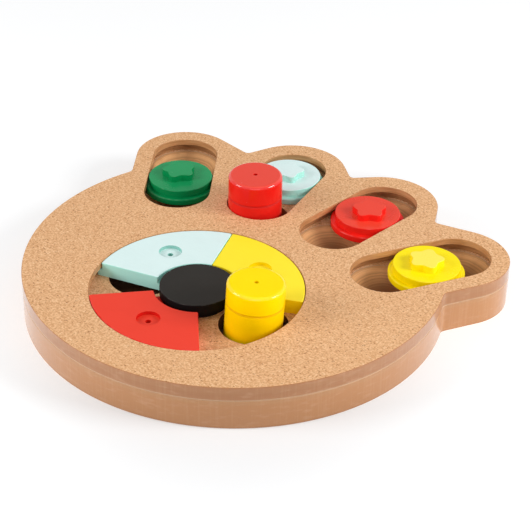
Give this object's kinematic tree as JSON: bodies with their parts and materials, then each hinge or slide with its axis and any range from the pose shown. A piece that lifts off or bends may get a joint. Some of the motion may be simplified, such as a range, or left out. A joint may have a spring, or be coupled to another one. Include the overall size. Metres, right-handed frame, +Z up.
{
  "type": "pet puzzle board",
  "caption": "Paw-shaped wooden treat puzzle for pets: flanged discs slide in the toe slots, ring pieces turn round a hub and loose plugs stand in wells that hide treats.",
  "frame": {"origin": "middle of the board's bounding box on its underside", "axes": "+Z up out of the board's top, +Y towards the toes"},
  "size_m": [0.2664, 0.2658, 0.0479],
  "materials": {
    "fibreboard": "bare fine-sanded MDF",
    "steel": "zinc-plated",
    "red_paint": "satin paint on wood",
    "mint_paint": "satin paint on wood",
    "green_paint": "satin paint on wood",
    "yellow_paint": "satin paint on wood",
    "black_paint": "satin paint on wood"
  },
  "bodies": {
    "board": {"lower_board": "fibreboard", "upper_board": "fibreboard", "hub_boss": "black_paint", "hub_disc": "black_paint", "hub_screw": "steel"},
    "yellow_ring": {"yellow_ring_piece": "yellow_paint"},
    "mint_ring": {"mint_ring_piece": "mint_paint"},
    "red_ring": {"red_ring_piece": "red_paint"},
    "green_slider": {"green_slider_flange": "green_paint", "green_slider_disc": "green_paint", "green_slider_star": "green_paint"},
    "mint_slider": {"mint_slider_flange": "mint_paint", "mint_slider_disc": "mint_paint", "mint_slider_star": "mint_paint"},
    "red_slider": {"red_slider_flange": "red_paint", "red_slider_disc": "red_paint", "red_slider_star": "red_paint"},
    "yellow_slider": {"yellow_slider_flange": "yellow_paint", "yellow_slider_disc": "yellow_paint", "yellow_slider_star": "yellow_paint"},
    "red_plug": {"red_plug": "red_paint"},
    "yellow_plug": {"yellow_plug": "yellow_paint"}
  },
  "joints": [
    {"name": "yellow_ring_turn", "type": "hinge", "parent": "board", "child": "yellow_ring", "pos_m": [0, -0.0447, 0.018], "axis": [0, 0, 1], "range_deg": [0, 10]},
    {"name": "mint_ring_turn", "type": "hinge", "parent": "yellow_ring", "child": "mint_ring", "pos_m": [0, -0.0447, 0.018], "axis": [0, 0, 1], "range_deg": [0, 10]},
    {"name": "red_ring_turn", "type": "hinge", "parent": "board", "child": "red_ring", "pos_m": [0, -0.0447, 0.018], "axis": [0, 0, 1], "range_deg": [-10.8, 24]},
    {"name": "green_disc_slide", "type": "slide", "parent": "board", "child": "green_slider", "axis": [-0.5274, 0.8496, 0], "range_m": [-0.0192, 0.0272]},
    {"name": "mint_disc_slide", "type": "slide", "parent": "board", "child": "mint_slider", "axis": [-0.1483, 0.9889, 0], "range_m": [-0.0031, 0.0066]},
    {"name": "red_disc_slide", "type": "slide", "parent": "board", "child": "red_slider", "axis": [0.1483, 0.9889, 0], "range_m": [-0.0313, 0.0151]},
    {"name": "yellow_disc_slide", "type": "slide", "parent": "board", "child": "yellow_slider", "axis": [0.5274, 0.8496, 0], "range_m": [-0.027, 0.0194]},
    {"name": "red_plug_lift", "type": "slide", "parent": "board", "child": "red_plug", "axis": [0, 0, 1], "range_m": [0, 0.03]},
    {"name": "yellow_plug_lift", "type": "slide", "parent": "board", "child": "yellow_plug", "axis": [0, 0, 1], "range_m": [0, 0.03]}
  ]
}
